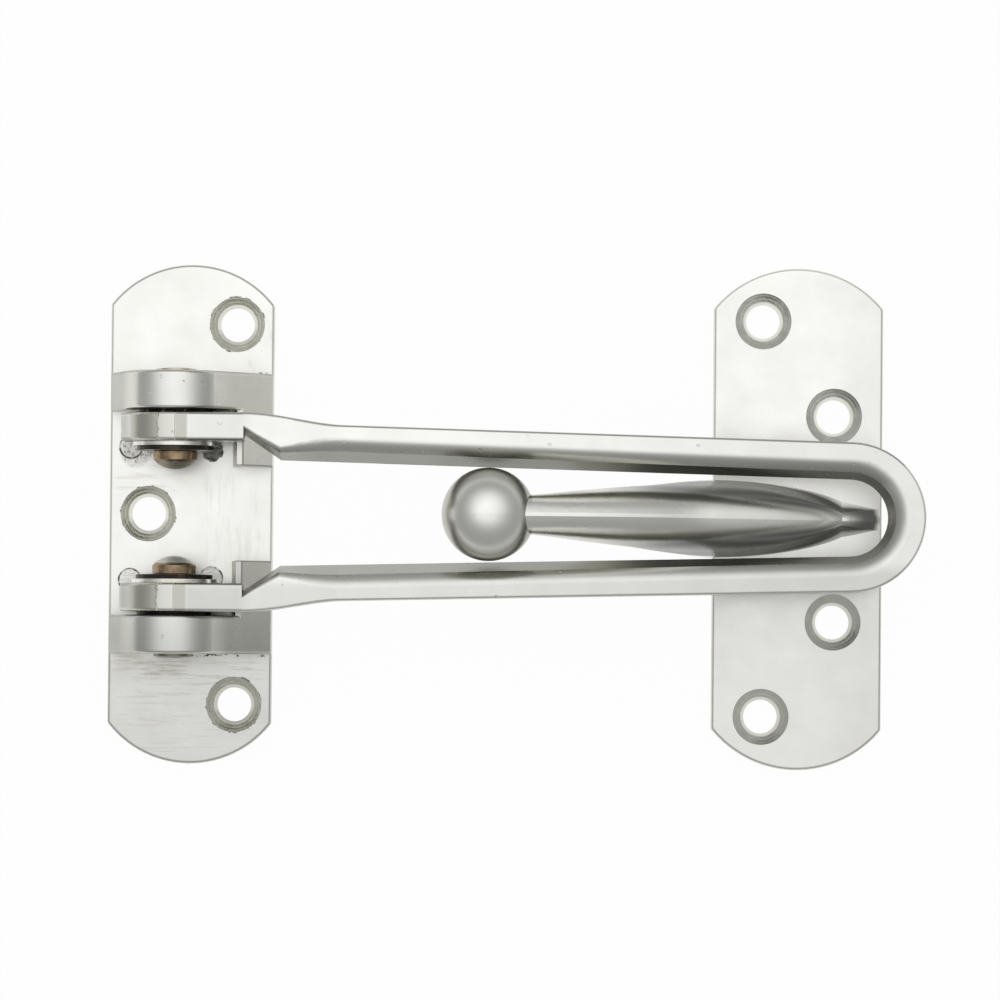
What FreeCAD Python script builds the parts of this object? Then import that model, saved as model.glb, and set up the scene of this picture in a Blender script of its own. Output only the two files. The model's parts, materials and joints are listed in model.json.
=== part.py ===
import FreeCAD, Part
import math
import os

from FreeCAD import Vector

# Swing-bar door guard, closed, lying on the backs of its two plates.
# Origin: centre of the hinge plate's back face. +X runs along the bar to its loop,
# +Y runs along the plates and the pivot axis, +Z points away from the door.
# Everything is symmetric about the plane Y = 0. Millimetres.

# Plates
plate_thickness = 3.0
plate_edge_radius = 0.55
plate_corner_radius = 0.9
hinge_plate_width = 27.5
hinge_plate_length = 84.0
ball_plate_width = 28.5
ball_plate_length = 84.5
plate_end_rise = 6.8
plate_spacing = 102.1

# Screw holes, countersunk from the front
screw_hole_radius = 2.85
screw_throat_radius = 3.3
hinge_sink_radius = 4.6
ball_sink_radius = 4.7
sink_half_angle = 45.0
throat_depth = 0.8
hinge_outer_hole_x = 7.5
hinge_outer_hole_y = 32.0
hinge_middle_hole_x = -7.2
ball_far_hole_x = -5.95
ball_far_hole_y = 33.3
ball_near_hole_x = 6.05
ball_near_hole_y = 17.35

# Pivot
pivot_x = -2.2
pivot_z = 12.4
running_clearance = 0.05

# Lugs of the hinge plate
lug_inner_y = 17.1
lug_thickness = 6.4
lug_radius = 8.8
lug_left_height = 6.5
lug_end_inset = 0.3
lug_right_height = 7.6
lug_edge_radius = 0.6

# Stop blocks under the closed bar
stop_inner_y = 7.9
stop_top_z = 13.0
stop_land = 0.9
stop_draft = 1.3
stop_gap = 0.3

# Ejector pin marks on the hinge plate
pin_mark_radius = 1.95
pin_mark_depth = 0.12
pin_mark_left = (-10.2, 11.2)
pin_mark_right = (3.5, 10.8)

# Swing bar
eye_inner_y = 11.8
eye_width = 4.7
eye_plate_gap = 0.3
eye_edge_radius = 0.6
shoulder_x = 9.5
shoulder_step = 1.1
bend_x = 15.6
leg_start_x = 26.0
leg_start_gap = 8.5
rod_width = 6.05
rod_height = 5.6
rod_lift = 8.2
rod_edge_radius = 0.5
rod_roll_width = 2.3
rod_roll_height = 1.35
rod_wall_draft = 1.7
shoulder_roll_width = 0.6
shoulder_roll_height = 0.35
shoulder_wall_draft = 0.9
loop_offset = 8.0
loop_inner_radius = 6.4
loop_wall_draft = 1.1

# Rivets and washers
rivet_radius = 2.5
rivet_head_radius = 3.65
rivet_head_rim = 1.6
rivet_head_dome = 1.35
rivet_tail_radius = 3.3
rivet_tail_height = 0.75
rivet_tail_rim = 0.45
rivet_chamfer = 0.25
thrust_washer_radius = 7.1
thrust_washer_thickness = 0.65
spring_washer_radius = 6.4
spring_washer_thickness = 0.75
spring_washer_cone = 0.2
friction_washer_radius = 6.2
washer_bore_clearance = 0.1

# Ball and its arm, offsets along X from the middle of the ball plate
ball_offset = 52.0
ball_z = 20.0
ball_radius = 7.75
neck_offset = 43.5
neck_half_width = 3.4
neck_foot_half_width = 1.9
neck_half_height = 4.8
arm_root_half_width = 6.6
arm_crown_half_width = 5.65
arm_shoulder_height = 5.2
arm_level_offset = 46.5
arm_ridge_end_offset = 7.4
arm_ridge_end_height = 2.6
arm_tip_offset = 13.9
arm_tip_half_width = 2.0
ridge_half_width = 0.3
ridge_slope = 0.38
roof_share = 0.7
arm_seat_depth = 0.3
tip_sink = 0.1


# Helpers

def box_between(x, y, z):
    """A box between three pairs of coordinates."""
    size = [pair[1] - pair[0] for pair in (x, y, z)]
    return Part.makeBox(size[0], size[1], size[2], Vector(x[0], y[0], z[0]))


def mirrored(shape):
    """The same shape on the other side of the plane Y = 0."""
    return shape.mirror(Vector(0, 0, 0), Vector(0, 1, 0))


def turned_on_pivot(profile):
    """Revolve (radius, y) points about the pivot axis into one solid."""
    points = [Vector(pivot_x + radius, y, pivot_z) for radius, y in profile]
    face = Part.Face(Part.makePolygon(points + points[:1]))
    return face.revolve(Vector(pivot_x, 0, pivot_z), Vector(0, 1, 0), 360)


def tube_on_pivot(outer_radius, inner_radius, low_y, high_y):
    """A flat ring about the pivot axis."""
    return turned_on_pivot([
        (inner_radius, low_y),
        (outer_radius, low_y),
        (outer_radius, high_y),
        (inner_radius, high_y),
    ])


def pivot_cylinder(radius, low_y, high_y):
    return Part.makeCylinder(radius, high_y - low_y, Vector(pivot_x, low_y, pivot_z), Vector(0, 1, 0))


def edges_where(shape, test):
    """The edges of a shape whose every vertex passes a test."""
    return [edge for edge in shape.Edges if all(test(vertex.Point) for vertex in edge.Vertexes)]


def stations(low, high, spans):
    """Evenly spaced places from low to high."""
    return [low + (high - low) * index / spans for index in range(spans + 1)]


def bezier(poles):
    curve = Part.BezierCurve()
    curve.setPoles(poles)
    return curve.toShape()


def plate_blank(width, length):
    """A plate with arched ends and rounded front edges, its back on z = 0."""
    half_width = width / 2
    half_length = length / 2
    corner_y = half_length - plate_end_rise
    corners = [
        Vector(-half_width, -corner_y, 0),
        Vector(half_width, -corner_y, 0),
        Vector(half_width, corner_y, 0),
        Vector(-half_width, corner_y, 0),
    ]
    outline = Part.Wire([
        Part.Arc(corners[0], Vector(0, -half_length, 0), corners[1]).toShape(),
        Part.LineSegment(corners[1], corners[2]).toShape(),
        Part.Arc(corners[2], Vector(0, half_length, 0), corners[3]).toShape(),
        Part.LineSegment(corners[3], corners[0]).toShape(),
    ])
    blank = Part.Face(outline).extrude(Vector(0, 0, plate_thickness))
    upright = [edge for edge in blank.Edges
               if abs(edge.Vertexes[0].X - edge.Vertexes[-1].X) < 0.01
               and abs(edge.Vertexes[0].Y - edge.Vertexes[-1].Y) < 0.01]
    blank = blank.makeFillet(plate_corner_radius, upright)
    front = edges_where(blank, lambda point: point.z > plate_thickness - 0.01)
    return blank.makeFillet(plate_edge_radius, front)


def screw_hole_cutter(x, y, sink_radius):
    """Countersink, short taper and straight throat of one screw hole."""
    sink_depth = (sink_radius - screw_throat_radius) / math.tan(math.radians(sink_half_angle))
    profile = [
        (0, -1),
        (screw_hole_radius, -1),
        (screw_hole_radius, throat_depth),
        (screw_throat_radius, plate_thickness - sink_depth),
        (sink_radius, plate_thickness),
        (sink_radius, plate_thickness + 1),
        (0, plate_thickness + 1),
    ]
    points = [Vector(x + radius, y, z) for radius, z in profile]
    face = Part.Face(Part.makePolygon(points + points[:1]))
    return face.revolve(Vector(x, y, 0), Vector(0, 0, 1), 360)


# Hinge plate

def ramp_slope():
    """Angle of the lug's right flank, tangent to the knuckle."""
    run = hinge_plate_width / 2 - pivot_x
    rise = pivot_z - lug_right_height
    return math.atan2(rise, run) + math.asin(lug_radius / math.hypot(run, rise))


def lug_profile(y):
    """Side outline of a lug: a knuckle with one steep and one long tangent flank."""
    half_width = hinge_plate_width / 2
    left_x = lug_end_inset - half_width
    left_run = pivot_x - left_x
    left_rise = pivot_z - lug_left_height
    left_angle = math.atan2(left_rise, left_run) + math.asin(lug_radius / math.hypot(left_run, left_rise))
    right_angle = ramp_slope()

    def on_knuckle(angle):
        return Vector(pivot_x + lug_radius * math.sin(angle), y, pivot_z + lug_radius * math.cos(angle))

    left_foot = Vector(left_x, y, plate_thickness / 2)
    left_top = Vector(left_x, y, lug_left_height)
    left_tangent = on_knuckle(-left_angle)
    right_tangent = on_knuckle(right_angle)
    right_top = Vector(half_width, y, lug_right_height)
    right_foot = Vector(half_width, y, plate_thickness / 2)
    return Part.Wire([
        Part.LineSegment(left_foot, left_top).toShape(),
        Part.LineSegment(left_top, left_tangent).toShape(),
        Part.Arc(left_tangent, on_knuckle(0), right_tangent).toShape(),
        Part.LineSegment(right_tangent, right_top).toShape(),
        Part.LineSegment(right_top, right_foot).toShape(),
        Part.LineSegment(right_foot, left_foot).toShape(),
    ])


def lug():
    body = Part.Face(lug_profile(lug_inner_y)).extrude(Vector(0, lug_thickness, 0))
    outer_y = lug_inner_y + lug_thickness
    low_end = min(lug_left_height, lug_right_height)
    rims = edges_where(body, lambda point: point.z > low_end - 0.01
                       and (point.y > outer_y - 0.01 or point.y < lug_inner_y + 0.01))
    rims = [edge for edge in rims if abs(edge.Vertexes[0].Y - edge.Vertexes[-1].Y) < 0.01]
    body = body.makeFillet(lug_edge_radius, rims)
    bore = pivot_cylinder(rivet_radius + running_clearance, lug_inner_y - 1, outer_y + 1)
    return body.cut(bore)


def stop_block():
    """Block that the closed bar comes down on, its face in line with the lug's flank."""
    half_width = hinge_plate_width / 2
    crest_x = half_width - (stop_top_z - lug_right_height) / math.tan(ramp_slope())
    wall_top_x = crest_x - stop_land
    profile = [
        (wall_top_x - stop_draft, plate_thickness / 2),
        (wall_top_x, stop_top_z),
        (crest_x, stop_top_z),
        (half_width, lug_right_height),
        (half_width, plate_thickness / 2),
    ]
    points = [Vector(x, stop_inner_y, z) for x, z in profile]
    block = Part.Face(Part.makePolygon(points + points[:1]))
    return block.extrude(Vector(0, lug_inner_y + lug_edge_radius - stop_inner_y, 0))


def hinge_plate():
    plate = plate_blank(hinge_plate_width, hinge_plate_length)
    solids = [lug(), stop_block()]
    solids += [mirrored(solid) for solid in solids]
    plate = plate.multiFuse(solids).removeSplitter()
    holes = [(hinge_outer_hole_x, hinge_outer_hole_y),
             (hinge_outer_hole_x, -hinge_outer_hole_y),
             (hinge_middle_hole_x, 0)]
    for x, y in holes:
        plate = plate.cut(screw_hole_cutter(x, y, hinge_sink_radius))
    for x, y in (pin_mark_left, pin_mark_right):
        for side in (1, -1):
            top = Vector(x, side * y, plate_thickness - pin_mark_depth)
            plate = plate.cut(Part.makeCylinder(pin_mark_radius, 1, top))
    return plate


# Swing bar

def rod_section(low_y, high_y, low_z, high_z, draft, roll_width, roll_height):
    """Closed section in the plane X = 0: flat top that rolls over to a drafted inner wall."""
    radius = rod_edge_radius
    half = radius * (1 - math.sqrt(0.5))

    def at(y, z):
        return Vector(0, y, z)

    roll_foot = at(low_y + draft, high_z - roll_height)
    roll_middle = at(low_y + draft + roll_width / 2, high_z)
    roll_top = at(low_y + draft + roll_width, high_z)
    high_outer = Part.Arc(at(high_y - radius, high_z),
                          at(high_y - half, high_z - half),
                          at(high_y, high_z - radius))
    low_outer = Part.Arc(at(high_y, low_z + radius),
                         at(high_y - half, low_z + half),
                         at(high_y - radius, low_z))
    low_inner = Part.Arc(at(low_y + radius, low_z),
                         at(low_y + half, low_z + half),
                         at(low_y, low_z + radius))
    return Part.Wire([
        bezier([roll_foot, roll_middle, roll_top]),
        Part.LineSegment(roll_top, high_outer.StartPoint).toShape(),
        high_outer.toShape(),
        Part.LineSegment(high_outer.EndPoint, low_outer.StartPoint).toShape(),
        low_outer.toShape(),
        Part.LineSegment(low_outer.EndPoint, low_inner.StartPoint).toShape(),
        low_inner.toShape(),
        Part.LineSegment(low_inner.EndPoint, roll_foot).toShape(),
    ])


def rod_low_z():
    return pivot_z + rod_lift - rod_height


def rod_high_z():
    return pivot_z + rod_lift


def eye_radius():
    """The eye clears the plate's front face by a small gap."""
    return pivot_z - plate_thickness - eye_plate_gap


def loop_x():
    """The loop's centre, a little beyond the middle of the ball plate."""
    return plate_spacing + loop_offset


def leg_angle():
    """How far each leg leans inward on its way to the loop."""
    start_y = leg_start_gap + rod_width / 2
    run = loop_x() - leg_start_x
    reach = math.hypot(run, start_y)
    loop_radius = loop_inner_radius + rod_width / 2
    return math.atan2(start_y, run) - math.asin(loop_radius / reach)


def eased(share):
    """Smooth start and stop between 0 and 1."""
    share = min(max(share, 0), 1)
    return share * share * (3 - 2 * share)


def arm_section(x):
    """Section of the bar's arm between the eye's shoulder and the straight leg."""
    lean = math.tan(leg_angle())
    crank = leg_start_x - shoulder_x
    eye_outer = eye_inner_y + eye_width
    leg_outer = leg_start_gap + rod_width + (leg_start_x - x) * lean
    outer = eye_outer + (leg_outer - eye_outer) * eased((x - shoulder_x) / crank)
    inner = leg_start_gap + (leg_start_x - x) * lean
    if x < bend_x:
        bend_gap = leg_start_gap + (leg_start_x - bend_x) * lean
        shoulder_gap = eye_inner_y + shoulder_step
        inner = shoulder_gap + (bend_gap - shoulder_gap) * (x - shoulder_x) / (bend_x - shoulder_x)
    blend = eased((x - shoulder_x) / crank)
    seat_z = stop_top_z + stop_gap
    low = seat_z + (rod_low_z() - seat_z) * eased((x - shoulder_x) / (bend_x - shoulder_x))
    high = rod_high_z() + (eye_radius() - rod_lift) * (1 - blend)
    draft = shoulder_wall_draft + (rod_wall_draft - shoulder_wall_draft) * blend
    roll_width = shoulder_roll_width + (rod_roll_width - shoulder_roll_width) * blend
    roll_height = shoulder_roll_height + (rod_roll_height - shoulder_roll_height) * blend
    section = rod_section(inner, outer, low, high, draft, roll_width, roll_height)
    section.translate(Vector(x, 0, 0))
    return section


def loop_section():
    """Section where a leg meets the loop, square to the leg."""
    section = rod_section(loop_inner_radius, loop_inner_radius + rod_width, rod_low_z(), rod_high_z(),
                          loop_wall_draft, rod_roll_width, rod_roll_height)
    section.rotate(Vector(0, 0, 0), Vector(0, 0, 1), -math.degrees(leg_angle()))
    section.translate(Vector(loop_x(), 0, 0))
    return section


def eye():
    """Eye on the pivot with the flat-topped start of its arm."""
    outline = pivot_cylinder(eye_radius(), eye_inner_y, eye_inner_y + eye_width)
    tang = box_between((pivot_x, shoulder_x), (eye_inner_y, eye_inner_y + eye_width),
                       (stop_top_z + stop_gap, pivot_z + eye_radius()))
    body = outline.fuse(tang).removeSplitter()
    rims = [edge for edge in body.Edges
            if edge.BoundBox.YLength < 0.01 and edge.BoundBox.XLength > 0.01]
    return body.makeFillet(eye_edge_radius, rims)


def bar_half():
    """Eye, cranked arm and straight leg of one side."""
    bend = [arm_section(x) for x in stations(shoulder_x, bend_x, 4)]
    crank = [arm_section(x) for x in stations(bend_x, leg_start_x, 6)]
    leg = [arm_section(leg_start_x), loop_section()]
    return [
        eye(),
        Part.makeLoft(bend, True, False),
        Part.makeLoft(crank, True, False),
        Part.makeLoft(leg, True, True),
    ]


def swing_bar():
    turn = 180 - 2 * math.degrees(leg_angle())
    loop = Part.Face(loop_section()).revolve(Vector(loop_x(), 0, 0), Vector(0, 0, 1), -turn)
    halves = bar_half()
    halves += [mirrored(solid) for solid in halves]
    bar = loop.multiFuse(halves).removeSplitter()
    side = eye_inner_y + 2 * eye_width
    bore = pivot_cylinder(rivet_radius + running_clearance, -side, side)
    return bar.cut(bore)


# Rivets and washers, upper side

def washer_bore():
    return rivet_radius + washer_bore_clearance


def thrust_washer_face():
    """Inner face of the light washer that bears on the eye."""
    return eye_inner_y - running_clearance - thrust_washer_thickness


def head_face():
    """Face of the rivet head that holds the spring washer."""
    return thrust_washer_face() - spring_washer_thickness - spring_washer_cone


def cap_arc(radius, rim_y, apex_y):
    """Arc from a rim to an apex on the pivot axis, part of a ball centred on that axis."""
    height = apex_y - rim_y
    ball = (radius * radius + height * height) / (2 * abs(height))
    centre_y = apex_y - math.copysign(ball, height)
    half_angle = math.asin(radius / ball) / 2
    middle = Vector(pivot_x + ball * math.sin(half_angle),
                    centre_y + math.copysign(ball, height) * math.cos(half_angle), pivot_z)
    rim = Vector(pivot_x + radius, rim_y, pivot_z)
    return Part.Arc(rim, middle, Vector(pivot_x, apex_y, pivot_z)).toShape()


def hinge_rivet():
    seat = head_face()
    rim = seat - rivet_head_rim
    crown = rim - rivet_head_dome
    tail = lug_inner_y + lug_thickness
    tail_rim = tail + rivet_tail_rim
    head_arc = cap_arc(rivet_head_radius - rivet_chamfer, rim, crown)
    tail_arc = cap_arc(rivet_tail_radius, tail_rim, tail + rivet_tail_height)
    corners = [
        (rivet_head_radius - rivet_chamfer, rim),
        (rivet_head_radius, rim + rivet_chamfer),
        (rivet_head_radius, seat),
        (rivet_radius, seat),
        (rivet_radius, tail),
        (rivet_tail_radius, tail),
        (rivet_tail_radius, tail_rim),
    ]
    side = Part.makePolygon([Vector(pivot_x + radius, y, pivot_z) for radius, y in corners])
    axis = Part.LineSegment(Vector(pivot_x, tail + rivet_tail_height, pivot_z),
                            Vector(pivot_x, crown, pivot_z)).toShape()
    outline = Part.Wire(Part.__sortEdges__([head_arc, tail_arc, axis] + side.Edges))
    return Part.Face(outline).revolve(Vector(pivot_x, 0, pivot_z), Vector(0, 1, 0), 360)


def thrust_washer():
    low = thrust_washer_face()
    return tube_on_pivot(thrust_washer_radius, washer_bore(), low, low + thrust_washer_thickness)


def spring_washer():
    """Dished disc between the rivet head and the light washer."""
    low = head_face()
    return turned_on_pivot([
        (washer_bore(), low),
        (spring_washer_radius, low + spring_washer_cone),
        (spring_washer_radius, low + spring_washer_cone + spring_washer_thickness),
        (washer_bore(), low + spring_washer_thickness),
    ])


def friction_washer():
    """Thin washer in the gap between the eye and its lug."""
    low = eye_inner_y + eye_width + running_clearance
    return tube_on_pivot(friction_washer_radius, washer_bore(), low, lug_inner_y)


# Ball plate

def left_edge():
    return plate_spacing - ball_plate_width / 2


def shared(low, high, x):
    """How far x lies from low to high, held between 0 and 1."""
    return min(max((x - low) / (high - low), 0), 1)


def arm_half(x):
    """Half of the arm's section: flank with its foot, arched crown and half of the ridge."""
    edge = left_edge()
    neck_x = plate_spacing - neck_offset
    tip_x = plate_spacing + arm_tip_offset
    ridge_end = plate_spacing + arm_ridge_end_offset
    to_edge = shared(neck_x, edge, x)
    to_tip = shared(edge, tip_x, x)
    to_end = shared(edge, ridge_end, x)
    left = 1 - to_edge
    foot = arm_root_half_width
    foot -= (arm_root_half_width - neck_foot_half_width) * (left + left ** 2) / 2
    foot -= (arm_root_half_width - arm_tip_half_width) * to_tip ** 2
    shoulder = neck_half_width + (arm_crown_half_width - neck_half_width) * math.sin(math.pi / 2 * to_edge)
    shoulder -= (arm_crown_half_width - 0.6 * arm_tip_half_width) * to_end ** 2.1
    neck_top = ball_z + neck_half_height
    drop = shared(plate_spacing - arm_level_offset, ridge_end, x)
    top_z = neck_top - (neck_top - plate_thickness - arm_ridge_end_height) * drop ** 2
    foot_z = plate_thickness / 2 + (ball_z - neck_half_height - plate_thickness / 2) * left ** 1.2
    edge_z = plate_thickness + arm_shoulder_height
    shoulder_z = edge_z + (ball_z - edge_z) * left ** 1.5
    shoulder_z -= (arm_shoulder_height - arm_ridge_end_height / 2) * to_end ** 2
    if x > edge:
        foot_z = plate_thickness - arm_seat_depth
    return section_half(x, foot, foot_z, shoulder, shoulder_z, top_z, to_end)


def section_half(x, foot, foot_z, shoulder, shoulder_z, top_z, hollow):
    """Poles of the flank and of the crown, whose last point lies at the ridge."""
    blend = 4 / 3 * (math.sqrt(2) - 1)
    ridge = min(ridge_half_width, shoulder / 2)
    lean = roof_share * (shoulder - ridge)
    middle = (foot + shoulder) / 2 + (shoulder - foot) / 2 * hollow
    flank = [
        Vector(x, foot, foot_z),
        Vector(x, middle, foot_z + 0.5 * (shoulder_z - foot_z)),
        Vector(x, shoulder, shoulder_z),
    ]
    crown = [
        Vector(x, shoulder, shoulder_z),
        Vector(x, shoulder, shoulder_z + blend * (top_z - shoulder_z)),
        Vector(x, ridge + lean, top_z - ridge_slope * lean),
        Vector(x, ridge, top_z),
    ]
    return flank, crown


def arm_wire(half):
    """Closed section from one half and its mirror image."""
    flank, crown = half
    far_flank = [Vector(point.x, -point.y, point.z) for point in reversed(flank)]
    far_crown = [Vector(point.x, -point.y, point.z) for point in reversed(crown)]
    return Part.Wire([
        bezier(flank),
        bezier(crown),
        Part.LineSegment(crown[-1], far_crown[0]).toShape(),
        bezier(far_crown),
        bezier(far_flank),
        Part.LineSegment(far_flank[-1], flank[0]).toShape(),
    ])


def tip_half(share):
    """Half sections of the scooped tip, from the end of the ridge down to the plate."""
    ridge_end = plate_spacing + arm_ridge_end_offset
    tip_x = plate_spacing + arm_tip_offset
    flank, crown = arm_half(ridge_end)
    sunk = 1 - share ** 1.6
    x = ridge_end + (tip_x - ridge_end) * share
    narrowing = (arm_root_half_width - arm_tip_half_width) * shared(left_edge(), tip_x, x) ** 2
    foot = arm_root_half_width - narrowing
    shoulder = crown[0].y + (0.9 * arm_tip_half_width - crown[0].y) * share
    shoulder_z = plate_thickness - tip_sink * share + (crown[0].z - plate_thickness) * sunk
    top_z = plate_thickness + (crown[-1].z - plate_thickness) * sunk
    return section_half(x, foot, plate_thickness - arm_seat_depth, shoulder, shoulder_z, top_z, 1)


def ball_arm():
    """Arm that rises from the plate and narrows to the ball, with a scooped tip."""
    inside_ball = plate_spacing - ball_offset + ball_radius / 2
    ridge_end = plate_spacing + arm_ridge_end_offset
    free = [arm_wire(arm_half(x)) for x in stations(inside_ball, left_edge(), 7)]
    joint = [arm_wire(arm_half(x)) for x in (left_edge(), left_edge() + arm_seat_depth)]
    seated = [arm_wire(arm_half(x)) for x in stations(left_edge() + arm_seat_depth, ridge_end, 6)]
    tip = [arm_wire(tip_half(share)) for share in stations(0, 1, 4)]
    parts = [Part.makeLoft(wires, True, False) for wires in (free, joint, seated, tip)]
    return parts[0].multiFuse(parts[1:])


def ball_plate():
    plate = plate_blank(ball_plate_width, ball_plate_length)
    holes = [(ball_far_hole_x, ball_far_hole_y), (ball_near_hole_x, ball_near_hole_y)]
    for x, y in holes:
        for side in (1, -1):
            plate = plate.cut(screw_hole_cutter(x, side * y, ball_sink_radius))
    plate.translate(Vector(plate_spacing, 0, 0))
    ball = Part.makeSphere(ball_radius, Vector(plate_spacing - ball_offset, 0, ball_z), Vector(1, 0, 0))
    return plate.multiFuse([ball_arm(), ball]).removeSplitter()


# Files

def save(name, shape):
    """Write one sub-part to its STEP file."""
    if shape.ShapeType == "Compound" and len(shape.Solids) == 1:
        shape = shape.Solids[0]
    shape.exportStep(os.path.join("parts", name + ".step"))
    print(name, len(shape.Solids), shape.isValid(), round(shape.Volume, 1))


def main():
    os.makedirs("parts", exist_ok=True)
    save("hinge_plate", hinge_plate())
    save("swing_bar", swing_bar())
    save("ball_plate", ball_plate())
    pairs = {
        "hinge_rivet": hinge_rivet(),
        "thrust_washer": thrust_washer(),
        "spring_washer": spring_washer(),
        "friction_washer": friction_washer(),
    }
    for name, shape in pairs.items():
        save("upper_" + name, shape)
        save("lower_" + name, mirrored(shape))


main()
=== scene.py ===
import bpy
import json
import math
from mathutils import Matrix, Vector

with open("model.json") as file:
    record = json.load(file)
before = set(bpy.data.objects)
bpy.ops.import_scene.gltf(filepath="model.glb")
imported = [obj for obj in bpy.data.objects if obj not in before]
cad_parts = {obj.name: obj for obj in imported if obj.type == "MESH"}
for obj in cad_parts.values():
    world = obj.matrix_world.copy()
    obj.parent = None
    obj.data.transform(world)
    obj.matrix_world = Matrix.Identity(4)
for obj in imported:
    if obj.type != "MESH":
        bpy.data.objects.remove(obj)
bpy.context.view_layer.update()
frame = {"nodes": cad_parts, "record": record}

MM = 0.001

# Camera: looks straight down on the closed guard, slightly from below its middle line
IMAGE_SIZE = 1000
TARGET = Vector((52.0, 2.8, 3.0)) * MM
CAMERA_DISTANCE = 950 * MM
PIXEL_AT_PLATES = 0.1684 * MM
SENSOR_WIDTH = 36.0
CAMERA_TILT = math.radians(1.4)
CAMERA_ROLL = math.radians(0.5)
NEAREST_SEEN = 10 * MM

# Floor and light
FLOOR_HALF_SIZE = 3.0
FLOOR_DROP = 0.2 * MM
FLOOR_COLOUR = (0.93, 0.93, 0.93)
FLOOR_GLOW = 0.97
BACKGROUND = (1.0, 1.0, 1.0)
CANOPY_TILT = (math.radians(16), math.radians(1), 0.0)
CANOPY = [(0.0, 0.37), (0.40, 0.39), (0.60, 0.46), (0.76, 0.72), (0.90, 1.07), (1.0, 1.19)]
KEY_PLACE = Vector((0.0, 0.30, 0.95))
KEY_AIM = Vector((0.05, 0.0, 0.01))
KEY_SIZE = 0.6
KEY_WATTS = 0.12

# Places and sizes on the object, mm
MOUNTS = {mount["name"]: mount for mount in frame["record"]["mounts"]}
BALL_PLATE_X = MOUNTS["ball_plate_back"]["pos_m"][0] / MM
BALL_X = BALL_PLATE_X - 52.0
LOOP_CENTRE_X = BALL_PLATE_X + 8.0
PLATE_TOP = 3.0
HINGE_SINK = 4.6
BALL_SINK = 4.7
SINK_THROAT = 3.3
RING_PITCH = 0.55
PIN_MARKS = [(-10.2, 11.2), (-10.2, -11.2), (3.5, -10.8)]
# pin mark that lies under painted shadow
SHADOWED_PIN_MARK = (3.5, 10.8)
PIN_MARK_RADIUS = 1.95
RIPPLES = (-9.4, 10.4)
LUG_OUTER_Y = 23.5
STOP_INNER_Y = 7.9
STOP_TOP = 13.0
EYE_INNER_Y = 11.8
EYE_DOT = (5.6, 14.8)
RIVET_DOME_Y = 8.55

# Colour of the plating, and grey factors of painted shade by how squarely a surface faces front or back
PLATING = (0.93, 0.93, 0.895)
HINGE_FLANKS = [(0.0, 0.80), (0.5, 0.82), (0.8, 0.92), (0.95, 1.0), (1.0, 1.0)]
BALL_FLANKS = [(0.0, 0.80), (0.5, 0.84), (0.8, 0.92), (0.95, 1.0), (1.0, 1.0)]
BAR_FLANKS = [(0.0, 0.36), (0.40, 0.38), (0.62, 0.66), (0.82, 0.92), (0.95, 1.0), (1.0, 1.0)]

# Shares of the colour taken away as painted shade on the ball, by how squarely it faces front
BALL_SIDES = [(0.44, 0.40), (0.60, 0.445), (0.66, 0.285), (0.71, 0.11), (0.76, 0.0)]

# Brushed areas of the hinge plate: low and high x, low and high y, noise stretch, strength
HINGE_STREAKS = [
    ((2.0, 13.0, -9.0, 7.0), (1.4, 0.12, 1.0), 0.22),
    ((-12.5, 13.0, -41.0, -24.5), (0.10, 1.9, 1.0), 0.40),
    ((9.0, 13.0, 22.0, 34.0), (0.5, 0.25, 1.0), 0.5),
    ((-13.0, -3.0, 3.0, 8.0), (0.15, 1.2, 1.0), 0.35),
]

# Sockets of the mix node, whose names repeat for every type of data
MIX_FACTOR = 0
MIX_VECTORS = (4, 5)
MIX_VECTOR_OUT = 1
MIX_COLOURS = (6, 7)
MIX_COLOUR_OUT = 2


# Node helpers

def new_material(name):
    material = bpy.data.materials.new(name)
    material.use_nodes = True
    tree = material.node_tree
    tree.nodes.clear()
    output = tree.nodes.new("ShaderNodeOutputMaterial")
    return material, tree, output


def node(tree, kind, settings=None, inputs=None):
    """A node with its settings and its unlinked inputs."""
    made = tree.nodes.new(kind)
    for name, value in (settings or {}).items():
        setattr(made, name, value)
    for name, value in (inputs or {}).items():
        made.inputs[name].default_value = value
    return made


def linked(tree, value, socket):
    """Link a socket, or write a number or colour into it."""
    if isinstance(value, (int, float)):
        socket.default_value = value
    elif isinstance(value, tuple):
        socket.default_value = (*value, 1.0)
    else:
        tree.links.new(value, socket)


def ramp(tree, source, stops, interpolation="LINEAR"):
    """A colour ramp with (place, grey or colour) stops."""
    made = tree.nodes.new("ShaderNodeValToRGB")
    made.color_ramp.interpolation = interpolation
    elements = made.color_ramp.elements
    while len(elements) < len(stops):
        elements.new(0.5)
    for element, (place, value) in zip(elements, stops):
        element.position = place
        colour = value if isinstance(value, tuple) else (value, value, value)
        element.color = (*colour, 1.0)
    tree.links.new(source, made.inputs["Fac"])
    return made.outputs["Color"]


def mixed(tree, factor, first, second, blend="MIX"):
    """Mix of two colours; the factor and both colours may be sockets."""
    made = node(tree, "ShaderNodeMix", {"data_type": "RGBA", "blend_type": blend})
    linked(tree, factor, made.inputs[MIX_FACTOR])
    for place, value in zip(MIX_COLOURS, (first, second)):
        linked(tree, value, made.inputs[place])
    return made.outputs[MIX_COLOUR_OUT]


def background_rays(tree):
    """1 for rays that should show the plain background: the direct ones, and those with reflections."""
    path = node(tree, "ShaderNodeLightPath")
    direct = node(tree, "ShaderNodeMath", {"operation": "MAXIMUM"})
    tree.links.new(path.outputs["Is Camera Ray"], direct.inputs[0])
    tree.links.new(path.outputs["Is Transmission Ray"], direct.inputs[1])
    with_glossy = node(tree, "ShaderNodeMath", {"operation": "MAXIMUM"})
    tree.links.new(direct.outputs[0], with_glossy.inputs[0])
    tree.links.new(path.outputs["Is Glossy Ray"], with_glossy.inputs[1])
    return direct.outputs[0], with_glossy.outputs[0]


# Metal skins

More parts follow.
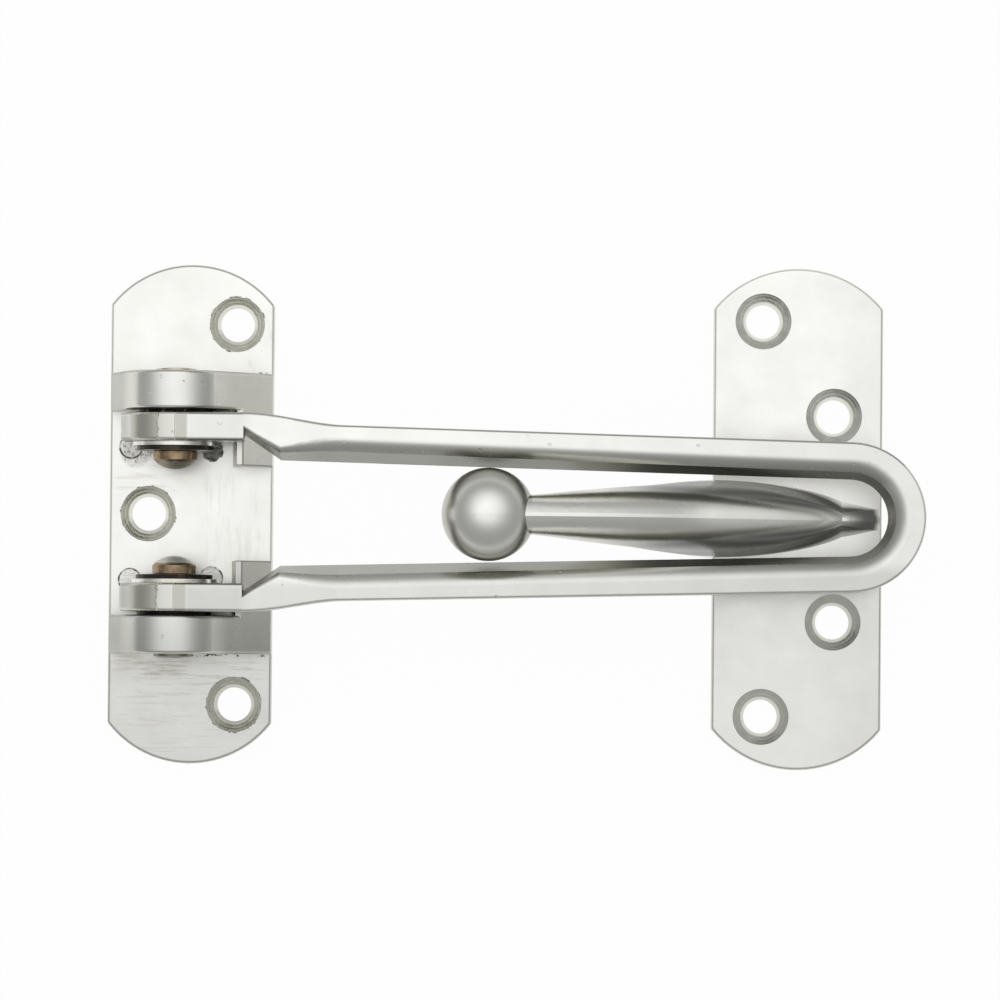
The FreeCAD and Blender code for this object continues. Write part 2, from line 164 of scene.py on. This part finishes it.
class Skin:
    """A metal whose colour, roughness and relief are laid on in turn. Places are in mm."""

    def __init__(self, name, colour, roughness):
        self.material, self.tree, self.output = new_material(name)
        coords = node(self.tree, "ShaderNodeTexCoord")
        scaled = node(self.tree, "ShaderNodeVectorMath", {"operation": "SCALE"}, {"Scale": 1 / MM})
        self.tree.links.new(coords.outputs["Object"], scaled.inputs[0])
        self.place = scaled.outputs[0]
        self.x, self.y, self.z = self.parts(self.place)
        self.facing_x, self.facing_y, self.facing_z = self.parts(coords.outputs["Normal"])
        self.colour = colour
        self.roughness = roughness
        self.normal = None

    def parts(self, vector):
        split = node(self.tree, "ShaderNodeSeparateXYZ")
        self.tree.links.new(vector, split.inputs[0])
        return split.outputs[0], split.outputs[1], split.outputs[2]

    def maths(self, operation, *values):
        made = node(self.tree, "ShaderNodeMath", {"operation": operation})
        for socket, value in zip(made.inputs, values):
            linked(self.tree, value, socket)
        return made.outputs[0]

    def both(self, *masks):
        """1 where all masks are 1: their product."""
        result = masks[0]
        for mask in masks[1:]:
            result = self.maths("MULTIPLY", result, mask)
        return result

    def slope(self, value, low, high, at_low=0.0, at_high=1.0):
        """Smooth step of a value from low to high."""
        made = node(self.tree, "ShaderNodeMapRange", {"interpolation_type": "SMOOTHSTEP"},
                    {"From Min": low, "From Max": high, "To Min": at_low, "To Max": at_high})
        self.tree.links.new(value, made.inputs["Value"])
        return made.outputs["Result"]

    def window(self, value, low, high, soft):
        """1 between low and high, 0 outside, with soft ends."""
        return self.both(self.slope(value, low - soft, low + soft),
                         self.slope(value, high - soft, high + soft, 1.0, 0.0))

    def noise(self, scale, detail=3.0, rough=0.55, stretch=(1, 1, 1), shift=0.0):
        """Fractal noise with about that many features a millimetre."""
        mapping = node(self.tree, "ShaderNodeMapping",
                       inputs={"Scale": stretch, "Location": (shift, shift, shift)})
        self.tree.links.new(self.place, mapping.inputs["Vector"])
        made = node(self.tree, "ShaderNodeTexNoise",
                    inputs={"Scale": scale, "Detail": detail, "Roughness": rough})
        self.tree.links.new(mapping.outputs["Vector"], made.inputs["Vector"])
        return made.outputs["Fac"]

    def from_middle(self):
        """Distance from the plane through the middle of the bar."""
        return self.maths("ABSOLUTE", self.y)

    def from_axis(self, centre):
        """Distance from an upright line through a place on the plates."""
        flat = node(self.tree, "ShaderNodeCombineXYZ")
        self.tree.links.new(self.x, flat.inputs["X"])
        self.tree.links.new(self.y, flat.inputs["Y"])
        gap = node(self.tree, "ShaderNodeVectorMath", {"operation": "DISTANCE"})
        gap.inputs[1].default_value = (*centre, 0.0)
        self.tree.links.new(flat.outputs[0], gap.inputs[0])
        return gap.outputs["Value"]

    def nearest(self, centres):
        """Distance from the nearest of several holes or marks."""
        result = self.from_axis(centres[0])
        for centre in centres[1:]:
            result = self.maths("MINIMUM", result, self.from_axis(centre))
        return result

    def tint(self, mask, colour):
        """Lay another colour on where the mask is 1."""
        self.colour = mixed(self.tree, mask, self.colour, colour)

    def shade(self, factor):
        """Multiply the colour by a factor."""
        self.colour = mixed(self.tree, 1.0, self.colour, factor, "MULTIPLY")

    def darken(self, share):
        """Take a share of the colour away."""
        self.shade(self.maths("SUBTRACT", 1.0, share))

    def wear(self, mask, roughness):
        """Add roughness where the mask is 1."""
        self.roughness = self.maths("ADD", self.roughness, self.maths("MULTIPLY", mask, roughness))

    def lift_normal(self, mask):
        """Turn the shaded surface towards +Z, 1 for all the way."""
        if self.normal is None:
            self.normal = node(self.tree, "ShaderNodeNewGeometry").outputs["Normal"]
        made = node(self.tree, "ShaderNodeMix", {"data_type": "VECTOR"})
        own, upward = (made.inputs[place] for place in MIX_VECTORS)
        self.tree.links.new(mask, made.inputs[MIX_FACTOR])
        self.tree.links.new(self.normal, own)
        upward.default_value = (0.0, 0.0, 1.0)
        unit = node(self.tree, "ShaderNodeVectorMath", {"operation": "NORMALIZE"})
        self.tree.links.new(made.outputs[MIX_VECTOR_OUT], unit.inputs[0])
        self.normal = unit.outputs[0]

    def relief(self, height, depth_mm):
        """Raise the shaded surface by a height of 0 to 1 times the depth."""
        made = node(self.tree, "ShaderNodeBump", inputs={"Strength": 1.0, "Distance": depth_mm * MM})
        self.tree.links.new(height, made.inputs["Height"])
        if self.normal is not None:
            self.tree.links.new(self.normal, made.inputs["Normal"])
        self.normal = made.outputs["Normal"]

    def done(self):
        shader = node(self.tree, "ShaderNodeBsdfPrincipled", inputs={"Metallic": 1.0})
        linked(self.tree, self.colour, shader.inputs["Base Color"])
        linked(self.tree, self.roughness, shader.inputs["Roughness"])
        if self.normal is not None:
            self.tree.links.new(self.normal, shader.inputs["Normal"])
        self.tree.links.new(shader.outputs["BSDF"], self.output.inputs["Surface"])
        return self.material


def satin(name, colour, tarnish, roughness):
    """Plated casting: cloudy tarnish, a faint waviness and a fine grain."""
    skin = Skin(name, colour, roughness)
    clouds = skin.noise(0.16, 3.0)
    skin.tint(ramp(skin.tree, clouds, [(0.28, 0.0), (0.75, 0.7)]), tarnish)
    skin.wear(ramp(skin.tree, clouds, [(0.3, 0.0), (0.8, 1.0)]), 0.08)
    waviness = skin.noise(0.12, 1.0, 0.4)
    skin.relief(waviness, 0.05)
    grain = skin.noise(2.2, 2.0)
    skin.relief(grain, 0.0022)
    return skin


def paint_facing_shade(skin, stops, weight=1.0):
    """Painted shade: darker, warmer flanks, by how squarely a surface faces front or back."""
    warm = [(place, (grey, grey, grey * (0.90 + 0.10 * place))) for place, grey in stops]
    factor = ramp(skin.tree, skin.maths("ABSOLUTE", skin.facing_z), warm, "B_SPLINE")
    skin.shade(mixed(skin.tree, weight, (1.0, 1.0, 1.0), factor))


def small_pits(skin, scale, shift, threshold, depth, where):
    """Scattered pits, fewer with a higher threshold."""
    pits = skin.slope(skin.noise(scale, 1.0, 0.4, shift=shift), threshold, threshold + 0.04)
    skin.relief(skin.maths("MULTIPLY", skin.both(pits, where), -1.0), depth)


# Countersinks and brushing

def screw_holes(plate):
    """Centres of a plate's screw holes, from the frame's mounts."""
    centres = []
    for name, mount in MOUNTS.items():
        if mount["kind"] == "flat_face" or not name.startswith(plate):
            continue
        x, y = (value / MM for value in mount["pos_m"][:2])
        half = mount["dims"].get("spacing_y_mm", 0.0) / 2
        centres += [(x, y + half), (x, y - half)] if half else [(x, y)]
    return centres


def machined_sinks(skin, centres, radius, depth, colour):
    """Turning rings in the countersinks; returns the distance from the nearest hole."""
    gap = skin.nearest(centres)
    inside = skin.both(skin.slope(gap, radius - 0.1, radius + 0.1, 1.0, 0.0),
                       skin.slope(gap, SINK_THROAT - 0.1, SINK_THROAT + 0.1))
    rings = skin.maths("SINE", skin.maths("MULTIPLY", gap, 2 * math.pi / RING_PITCH))
    skin.relief(skin.both(rings, inside), depth)
    chatter = skin.noise(1.4, 3.0, 0.7)
    skin.relief(skin.both(chatter, inside), depth * 8)
    clouds = skin.slope(skin.noise(0.5, 3.0), 0.30, 0.66, 0.3, 1.0)
    skin.tint(skin.both(inside, clouds), colour)
    return gap


def burred_rim(skin, gap, radius):
    """Ragged burr round the countersinks."""
    rim = skin.window(gap, radius - 0.10, radius + 0.16, 0.10)
    flecks = skin.slope(skin.noise(0.7, 3.0, 0.65), 0.55, 0.64)
    skin.relief(skin.both(rim, flecks), 0.10)
    near_top = skin.window(skin.z, PLATE_TOP - 1.2, PLATE_TOP + 0.3, 0.1)
    skin.tint(skin.both(rim, flecks, near_top), (0.40, 0.40, 0.36))


def brush_streaks(skin, area, stretch, strength):
    """Faint parallel scratches inside a soft area."""
    low_x, high_x, low_y, high_y = area
    inside = skin.both(skin.window(skin.x, low_x, high_x, 1.5), skin.window(skin.y, low_y, high_y, 1.5))
    streaks = skin.noise(1.0, 4.0, 0.65, stretch)
    lines = skin.both(inside, skin.slope(streaks, 0.52, 0.66))
    skin.relief(lines, 0.012)
    skin.tint(skin.maths("MULTIPLY", lines, strength), (0.62, 0.60, 0.55))


# Hinge plate

def shade_lugs(skin):
    """Painted shade on the lugs, darkest where they slope down to both sides."""
    on_lug = skin.slope(skin.z, PLATE_TOP + 0.3, PLATE_TOP + 1.5)
    skin.darken(skin.maths("MULTIPLY", on_lug, 0.09))
    right_slope = skin.slope(skin.x, 4.5, 7.5)
    more_below = skin.slope(skin.y, -24.0, 24.0, 0.34, 0.04)
    skin.darken(skin.both(on_lug, right_slope, more_below))
    left_slope = skin.slope(skin.x, -11.5, -9.5, 0.30, 0.0)
    skin.darken(skin.both(on_lug, left_slope))


def smudge_face(skin, on_face):
    """Brushed smudge under the lower lug."""
    area = skin.both(skin.window(skin.x, -12.5, -1.0, 2.0), skin.window(skin.y, -27.5, -23.5, 1.2), on_face)
    brushed = skin.slope(skin.noise(0.6, 4.0, 0.65, (0.30, 2.2, 1.0)), 0.42, 0.66)
    skin.tint(skin.both(area, brushed), (0.52, 0.50, 0.44))


def scratch_pin_marks(skin, on_face):
    """Ejector pin marks with scratched floors and broken dark rims."""
    gap = skin.nearest(PIN_MARKS)
    floor = skin.slope(gap, PIN_MARK_RADIUS - 0.15, PIN_MARK_RADIUS + 0.05, 1.0, 0.0)
    scratches = skin.noise(1.5, 3.0, 0.7, (1.0, 2.6, 1.0))
    skin.relief(skin.both(floor, on_face, scratches), 0.12)
    rim = skin.window(gap, PIN_MARK_RADIUS - 0.22, PIN_MARK_RADIUS + 0.10, 0.06)
    broken = skin.slope(skin.noise(0.5, 2.0), 0.42, 0.56)
    skin.tint(skin.both(rim, on_face, broken), (0.22, 0.20, 0.16))


def pin_mark_in_painted_shadow(skin, on_face):
    """The one pin mark that is rough, and darkened all over by painted shadow."""
    raggedness = skin.maths("MULTIPLY", skin.noise(0.9, 3.0), 1.1)
    gap = skin.maths("ADD", skin.from_axis(SHADOWED_PIN_MARK), raggedness)
    dark = skin.both(skin.slope(gap, PIN_MARK_RADIUS + 0.30, PIN_MARK_RADIUS + 0.55, 1.0, 0.0), on_face)
    # painted shadow: the dark tint over this pin mark
    skin.tint(dark, (0.19, 0.19, 0.18))
    skin.relief(skin.both(dark, skin.noise(1.1, 3.0, 0.6)), 0.25)


def ripple_face(skin, on_face):
    """Rough ripples beside the upper washers."""
    patch = skin.both(skin.slope(skin.from_axis(RIPPLES), 1.9, 2.9, 1.0, 0.0), on_face)
    ridges = skin.noise(1.1, 3.0, 0.7, (1.6, 1.0, 1.0), 3.0)
    skin.relief(skin.both(patch, ridges), 0.22)
    skin.tint(skin.both(patch, skin.slope(ridges, 0.52, 0.62)), (0.45, 0.43, 0.37))


def flash_at_lugs(skin):
    """Broken flash along the feet of the lugs."""
    foot = skin.both(skin.window(skin.from_middle(), LUG_OUTER_Y - 0.1, LUG_OUTER_Y + 0.45, 0.1),
                     skin.window(skin.z, PLATE_TOP - 0.4, PLATE_TOP + 0.25, 0.1),
                     skin.window(skin.x, -1.0, 12.5, 0.5))
    broken = skin.slope(skin.noise(0.9, 3.0, 0.7), 0.50, 0.57)
    skin.tint(skin.both(foot, broken), (0.09, 0.085, 0.07))


def darken_stops(skin):
    """Painted shade on the drafted sides and along the top edges of the stop blocks."""
    off_middle = skin.from_middle()
    side = skin.both(skin.window(off_middle, STOP_INNER_Y - 0.4, STOP_INNER_Y + 0.25, 0.08),
                     skin.slope(skin.x, 7.6, 7.9),
                     skin.slope(skin.z, PLATE_TOP + 0.1, PLATE_TOP + 0.5))
    # painted shade on the drafted side
    skin.tint(side, (0.34, 0.33, 0.29))
    edge = skin.both(skin.window(skin.x, 8.95, 9.2, 0.08),
                     skin.window(off_middle, STOP_INNER_Y - 0.2, EYE_INNER_Y + 0.1, 0.1),
                     skin.slope(skin.z, STOP_TOP - 1.5, STOP_TOP - 1.0))
    # painted shade along the top edge
    skin.tint(edge, (0.30, 0.29, 0.25))


def hinge_plate_skin():
    """Bright face with painted shade towards its lower end, on the lugs, the stop blocks, the faces turned
    up the plate and one pin mark, and the marks of casting and fitting.
    """
    skin = satin("satin_hinge_plate", PLATING, (0.87, 0.865, 0.83), 0.26)
    # painted shade: darker towards the lower end
    skin.shade(skin.slope(skin.y, -26.0, -8.0, 0.74, 1.0))
    # painted shade on the flanks
    paint_facing_shade(skin, HINGE_FLANKS)
    shade_lugs(skin)
    # painted shade on faces turned towards +Y, such as the upper edges
    skin.shade(skin.slope(skin.facing_y, 0.10, 0.55, 1.0, 0.68))
    gap = machined_sinks(skin, screw_holes("hinge_plate"), HINGE_SINK, 0.011, (0.74, 0.74, 0.66))
    burred_rim(skin, gap, HINGE_SINK)
    for area, stretch, strength in HINGE_STREAKS:
        brush_streaks(skin, area, stretch, strength)
    on_face = skin.window(skin.z, PLATE_TOP - 0.3, PLATE_TOP + 0.05, 0.05)
    smudge_face(skin, on_face)
    scratch_pin_marks(skin, on_face)
    pin_mark_in_painted_shadow(skin, on_face)
    ripple_face(skin, on_face)
    flash_at_lugs(skin)
    darken_stops(skin)
    on_lug = skin.slope(skin.z, PLATE_TOP + 1.0, PLATE_TOP + 2.0)
    small_pits(skin, 0.8, 7.0, 0.74, 0.08, on_lug)
    return skin.done()


# Ball plate

def shade_ball(skin):
    """Painted shade on the ball's sides and top, less on its left."""
    on_ball = skin.slope(skin.x, BALL_X + 6.9, BALL_X + 7.4, 1.0, 0.0)
    sides = ramp(skin.tree, skin.facing_z, BALL_SIDES)
    less_at_left = skin.slope(skin.x, BALL_X - 6.7, BALL_X - 3.6, 0.5, 1.0)
    skin.darken(skin.both(on_ball, sides, less_at_left))
    top = skin.slope(skin.facing_y, 0.25, 0.85, 0.0, 0.15)
    skin.darken(skin.both(on_ball, top))


def arm_shade_and_crown(skin):
    """Painted shade on the flanks between the bar's legs and in the scooped tail, a smooth crown, and a dark
    broken tip that is partly flash and partly painted shade.
    """
    off_middle = skin.from_middle()
    on_arm = skin.both(skin.slope(off_middle, 8.0, 8.6, 1.0, 0.0),
                       skin.slope(skin.z, PLATE_TOP + 0.1, PLATE_TOP + 0.6))
    aside = skin.maths("ADD", off_middle, skin.maths("MULTIPLY", skin.x, 0.10))
    flank = skin.both(skin.slope(aside, 10.7, 12.9), skin.slope(skin.x, 58.0, 80.0, 0.0, 0.95))
    # painted shade on the flanks between the legs
    skin.tint(skin.both(on_arm, flank), (0.11, 0.11, 0.105))
    scoop = skin.slope(skin.x, 109.5, 114.0, 0.0, 0.9)
    # painted shade in the scooped tail
    skin.tint(skin.both(on_arm, scoop), (0.17, 0.17, 0.16))
    crown = skin.both(skin.window(skin.x, 84.0, 108.0, 4.0), skin.slope(off_middle, 0.2, 3.4, 0.42, 0.0))
    skin.lift_normal(skin.both(on_arm, crown))
    tail_end = skin.window(skin.x, 114.6, 116.6, 0.2)
    flash = skin.slope(skin.noise(0.8, 3.0, 0.7), 0.46, 0.56)
    # dark tip: partly flash, partly painted shade where the end turns down
    skin.tint(skin.both(on_arm, tail_end, flash), (0.20, 0.20, 0.18))


def ball_plate_skin():
    """Face with painted shade downwards and to the right, and on the ball and its arm."""
    skin = satin("satin_ball_plate", PLATING, (0.87, 0.86, 0.83), 0.26)
    # painted shade: darker downwards
    skin.shade(skin.slope(skin.y, -18.0, 12.0, 0.84, 1.0))
    # painted shade on the flanks
    paint_facing_shade(skin, BALL_FLANKS)
    shade_ball(skin)
    # painted shade: darker towards the right end
    skin.shade(skin.slope(skin.x, 104.0, 116.0, 1.0, 0.93))
    machined_sinks(skin, screw_holes("ball_plate"), BALL_SINK, 0.006, (0.60, 0.61, 0.575))
    arm_shade_and_crown(skin)
    return skin.done()


# Swing bar

def inward(skin):
    """1 on walls that face the middle of the bar's slot, 0 on the outer walls."""
    behind = skin.maths("SUBTRACT", skin.maths("MINIMUM", skin.x, LOOP_CENTRE_X), skin.x)
    towards = skin.maths("SUBTRACT", skin.maths("MULTIPLY", skin.facing_x, behind),
                         skin.maths("MULTIPLY", skin.facing_y, skin.y))
    return skin.slope(towards, -1.0, 1.0)


def shade_legs(skin):
    """Painted shade: a darker lower leg and loop, and darker edges along the upper leg."""
    across = skin.maths("ADD", skin.y, skin.maths("MULTIPLY", skin.x, -0.03))
    skin.shade(skin.slope(across, -13.4, -10.6, 0.80, 1.0))
    skin.shade(skin.slope(skin.x, 30.0, 120.0, 1.0, 0.86))
    outer_edge = skin.both(skin.slope(skin.facing_y, 0.10, 0.50, 0.0, 0.45), skin.slope(skin.y, 8.0, 9.0))
    skin.darken(outer_edge)
    inner_roll = skin.both(skin.slope(skin.facing_y, -0.55, -0.15, 0.24, 0.0), skin.slope(skin.y, 5.0, 6.0))
    skin.darken(inner_roll)


def shade_walls(skin, inner):
    """Painted shade on the walls, darkest where they face the slot past the crank."""
    paint_facing_shade(skin, BAR_FLANKS, skin.maths("ADD", 0.4, skin.maths("MULTIPLY", inner, 0.6)))
    steep = skin.slope(skin.facing_z, 0.40, 0.62, 1.0, 0.0)
    past_crank = skin.slope(skin.x, 38.0, 56.0, 0.0, 0.2)
    less_in_loop = skin.slope(skin.x, 112.0, 118.0, 1.0, 0.4)
    skin.darken(skin.both(inner, steep, past_crank, less_in_loop))


def gates_and_eye_shading(skin):
    """Trimmed gate on top of each eye: a ragged pale patch and a flat strip with a sharp end, painted as a
    highlight; painted shade on the eye's left side and on its flat top.
    """
    on_eye = skin.both(skin.slope(skin.from_middle(), EYE_INNER_Y - 0.2, EYE_INNER_Y),
                       skin.slope(skin.z, 17.5, 18.5))
    # painted shade on the eye's left side, where it curves away
    left_part = skin.slope(skin.x, -0.1, 0.6, 0.92, 0.0)
    skin.tint(skin.both(on_eye, left_part), (0.52, 0.52, 0.46))
    ragged = skin.maths("ADD", skin.x, skin.maths("MULTIPLY", skin.noise(0.55, 3.0), 2.2))
    patch = skin.both(on_eye, skin.slope(ragged, -3.7, -3.4), skin.slope(skin.x, -1.9, -1.7, 1.0, 0.0))
    skin.relief(patch, 0.10)
    skin.tint(skin.maths("MULTIPLY", patch, 0.55), (0.86, 0.86, 0.82))
    # painted highlight along the sharp end of the strip
    sharp_end = skin.window(skin.x, -1.85, -1.70, 0.08)
    skin.tint(skin.both(on_eye, sharp_end), (0.93, 0.93, 0.88))
    # painted shade on the eye's flat top
    flat_top = skin.both(skin.slope(skin.x, 0.3, 0.7), skin.slope(skin.x, 8.5, 11.5, 0.13, 0.0))
    skin.darken(skin.both(on_eye, flat_top))


def mark_shoulders(skin):
    """A raised dot on the upper eye, and a bright seam along the inner edge of each shoulder."""
    skin.relief(skin.slope(skin.from_axis(EYE_DOT), 0.20, 0.55, 1.0, 0.0), 0.05)
    seam = skin.both(skin.window(skin.from_middle(), EYE_INNER_Y - 0.10, EYE_INNER_Y + 0.12, 0.04),
                     skin.window(skin.x, 16.0, 20.0, 0.8),
                     skin.slope(skin.z, 19.6, 20.2))
    skin.lift_normal(seam)


def flash_on_walls(skin, inner):
    """Faint broken flash line low on the inner walls."""
    low = skin.both(skin.slope(skin.facing_z, 0.55, 0.75, 1.0, 0.0), skin.window(skin.z, 15.45, 15.85, 0.08))
    on_legs = skin.slope(skin.x, 27.0, 29.0)
    dashes = skin.slope(skin.noise(1.0, 2.0, 0.5, (4.0, 0.1, 0.1)), 0.46, 0.56)
    stretches = skin.slope(skin.noise(0.10, 1.0), 0.40, 0.58)
    skin.tint(skin.both(inner, low, on_legs, dashes, stretches), (0.20, 0.20, 0.18))


def bar_skin():
    """Bright tops, painted shade on the walls, polishing lines and the marks of casting and trimming."""
    skin = satin("satin_bar", PLATING, (0.88, 0.875, 0.84), 0.25)
    inner = inward(skin)
    shade_legs(skin)
    shade_walls(skin, inner)
    polishing_lines = skin.noise(1.0, 3.0, 0.6, (0.08, 1.2, 1.2))
    skin.relief(polishing_lines, 0.010)
    gates_and_eye_shading(skin)
    mark_shoulders(skin)
    flash_on_walls(skin, inner)
    small_pits(skin, 0.7, 3.0, 0.76, 0.06, 1.0)
    return skin.done()


# Rivets and washers

def rivet_skin():
    """Copper-toned head with a greyer dome, pale on the lower rivet as a painted reflection; the upper
    peened end is pale, the lower one dark with painted shade.
    """
    skin = Skin("rivet_copper", (0.36, 0.265, 0.17), 0.27)
    skin.tint(skin.slope(skin.noise(0.45, 3.0), 0.40, 0.66), (0.20, 0.14, 0.09))
    dome = skin.slope(skin.from_middle(), RIVET_DOME_Y - 0.30, RIVET_DOME_Y + 0.05, 1.0, 0.0)
    skin.tint(dome, (0.44, 0.42, 0.35))
    # painted reflection: the lower rivet's dome is pale
    lower = skin.slope(skin.y, -1.0, 1.0, 1.0, 0.0)
    skin.tint(skin.both(dome, lower), (0.84, 0.83, 0.78))
    skin.wear(dome, 0.25)
    upper_end = skin.slope(skin.y, 20.0, 21.0)
    skin.tint(upper_end, (0.62, 0.58, 0.46))
    # painted shade on the lower peened end
    lower_end_shade = skin.slope(skin.y, -21.0, -20.0, 1.0, 0.0)
    skin.tint(lower_end_shade, (0.22, 0.21, 0.18))
    skin.relief(skin.noise(1.6, 3.0, 0.6), 0.02)
    return skin.done()


def washer_skin(name, colour, dark, roughness, contrast=(0.4, 0.62)):
    """Cloudy washer with a fine grain."""
    skin = Skin(name, colour, roughness)
    skin.tint(skin.slope(skin.noise(0.5, 3.0, 0.6), *contrast), dark)
    skin.relief(skin.noise(1.5, 3.0, 0.6), 0.012)
    return skin.done()


def dress(names, material):
    """Give CAD nodes a finish."""
    for name in names:
        piece = frame["nodes"][name]
        piece.data.materials.clear()
        piece.data.materials.append(material)


def pair(name):
    """The upper and the lower piece of a kind."""
    return [f"upper_{name}", f"lower_{name}"]


def dress_all():
    dress(["hinge_plate"], hinge_plate_skin())
    dress(["ball_plate"], ball_plate_skin())
    dress(["swing_bar"], bar_skin())
    dress(pair("hinge_rivet"), rivet_skin())
    dress(pair("thrust_washer"),
          washer_skin("washer_zinc", (0.88, 0.87, 0.82), (0.72, 0.70, 0.62), 0.24))
    dress(pair("spring_washer"),
          washer_skin("washer_dark", (0.060, 0.052, 0.045), (0.030, 0.026, 0.022), 0.34))
    dress(pair("friction_washer"),
          washer_skin("washer_smoked", (0.30, 0.21, 0.15), (0.018, 0.016, 0.014), 0.4, (0.32, 0.40)))


# Stage

def floor_material():
    """White to the camera and to reflections, with the object's shadow kept."""
    material, tree, output = new_material("floor_white")
    diffuse = node(tree, "ShaderNodeBsdfDiffuse", inputs={"Color": (*FLOOR_COLOUR, 1.0)})
    glow = node(tree, "ShaderNodeEmission", inputs={"Color": (*BACKGROUND, 1.0), "Strength": 1.0})
    share = node(tree, "ShaderNodeMath", {"operation": "MULTIPLY"})
    linked(tree, background_rays(tree)[1], share.inputs[0])
    linked(tree, FLOOR_GLOW, share.inputs[1])
    mix = node(tree, "ShaderNodeMixShader")
    tree.links.new(share.outputs[0], mix.inputs["Fac"])
    tree.links.new(diffuse.outputs["BSDF"], mix.inputs[1])
    tree.links.new(glow.outputs["Emission"], mix.inputs[2])
    tree.links.new(mix.outputs["Shader"], output.inputs["Surface"])
    return material


def make_floor():
    mesh = bpy.data.meshes.new("floor")
    half = FLOOR_HALF_SIZE
    corners = [(-half, -half, 0), (half, -half, 0), (half, half, 0), (-half, half, 0)]
    mesh.from_pydata(corners, [], [(0, 1, 2, 3)])
    floor = bpy.data.objects.new("floor", mesh)
    bpy.context.scene.collection.objects.link(floor)
    floor.location.z = -FLOOR_DROP
    mesh.materials.append(floor_material())


def make_world():
    """Studio surround: a bright canopy overhead that falls to grey at the sides."""
    world = bpy.data.worlds.new("studio")
    bpy.context.scene.world = world
    world.use_nodes = True
    tree = world.node_tree
    tree.nodes.clear()
    output = tree.nodes.new("ShaderNodeOutputWorld")
    place = node(tree, "ShaderNodeTexCoord").outputs["Generated"]
    turned = node(tree, "ShaderNodeMapping", {"vector_type": "POINT"}, {"Rotation": CANOPY_TILT})
    tree.links.new(place, turned.inputs["Vector"])
    split = node(tree, "ShaderNodeSeparateXYZ")
    tree.links.new(turned.outputs["Vector"], split.inputs["Vector"])
    canopy = ramp(tree, split.outputs["Z"], CANOPY, "B_SPLINE")
    colour = mixed(tree, background_rays(tree)[0], canopy, BACKGROUND)
    background = node(tree, "ShaderNodeBackground", inputs={"Strength": 1.0})
    tree.links.new(colour, background.inputs["Color"])
    tree.links.new(background.outputs["Background"], output.inputs["Surface"])


def make_key_lamp():
    """Soft round lamp high over the upper side."""
    light = bpy.data.lights.new("key", "AREA")
    light.shape = "DISK"
    light.size = KEY_SIZE
    light.energy = KEY_WATTS
    lamp = bpy.data.objects.new("key", light)
    bpy.context.scene.collection.objects.link(lamp)
    lamp.location = KEY_PLACE
    lamp.rotation_euler = (KEY_AIM - KEY_PLACE).to_track_quat("-Z", "Y").to_euler()
    lamp.visible_camera = False


def make_camera():
    data = bpy.data.cameras.new("camera")
    data.sensor_fit = "HORIZONTAL"
    data.sensor_width = SENSOR_WIDTH
    data.lens = SENSOR_WIDTH / IMAGE_SIZE * CAMERA_DISTANCE / PIXEL_AT_PLATES
    data.clip_start = NEAREST_SEEN
    camera = bpy.data.objects.new("camera", data)
    bpy.context.scene.collection.objects.link(camera)
    turn = Matrix.Rotation(CAMERA_TILT, 4, "X") @ Matrix.Rotation(CAMERA_ROLL, 4, "Z")
    back = turn @ Vector((0, 0, CAMERA_DISTANCE))
    camera.matrix_world = Matrix.Translation(TARGET + back) @ turn
    bpy.context.scene.camera = camera


def main():
    bpy.context.scene.view_settings.view_transform = "Standard"
    make_camera()
    make_floor()
    make_world()
    make_key_lamp()
    dress_all()


main()
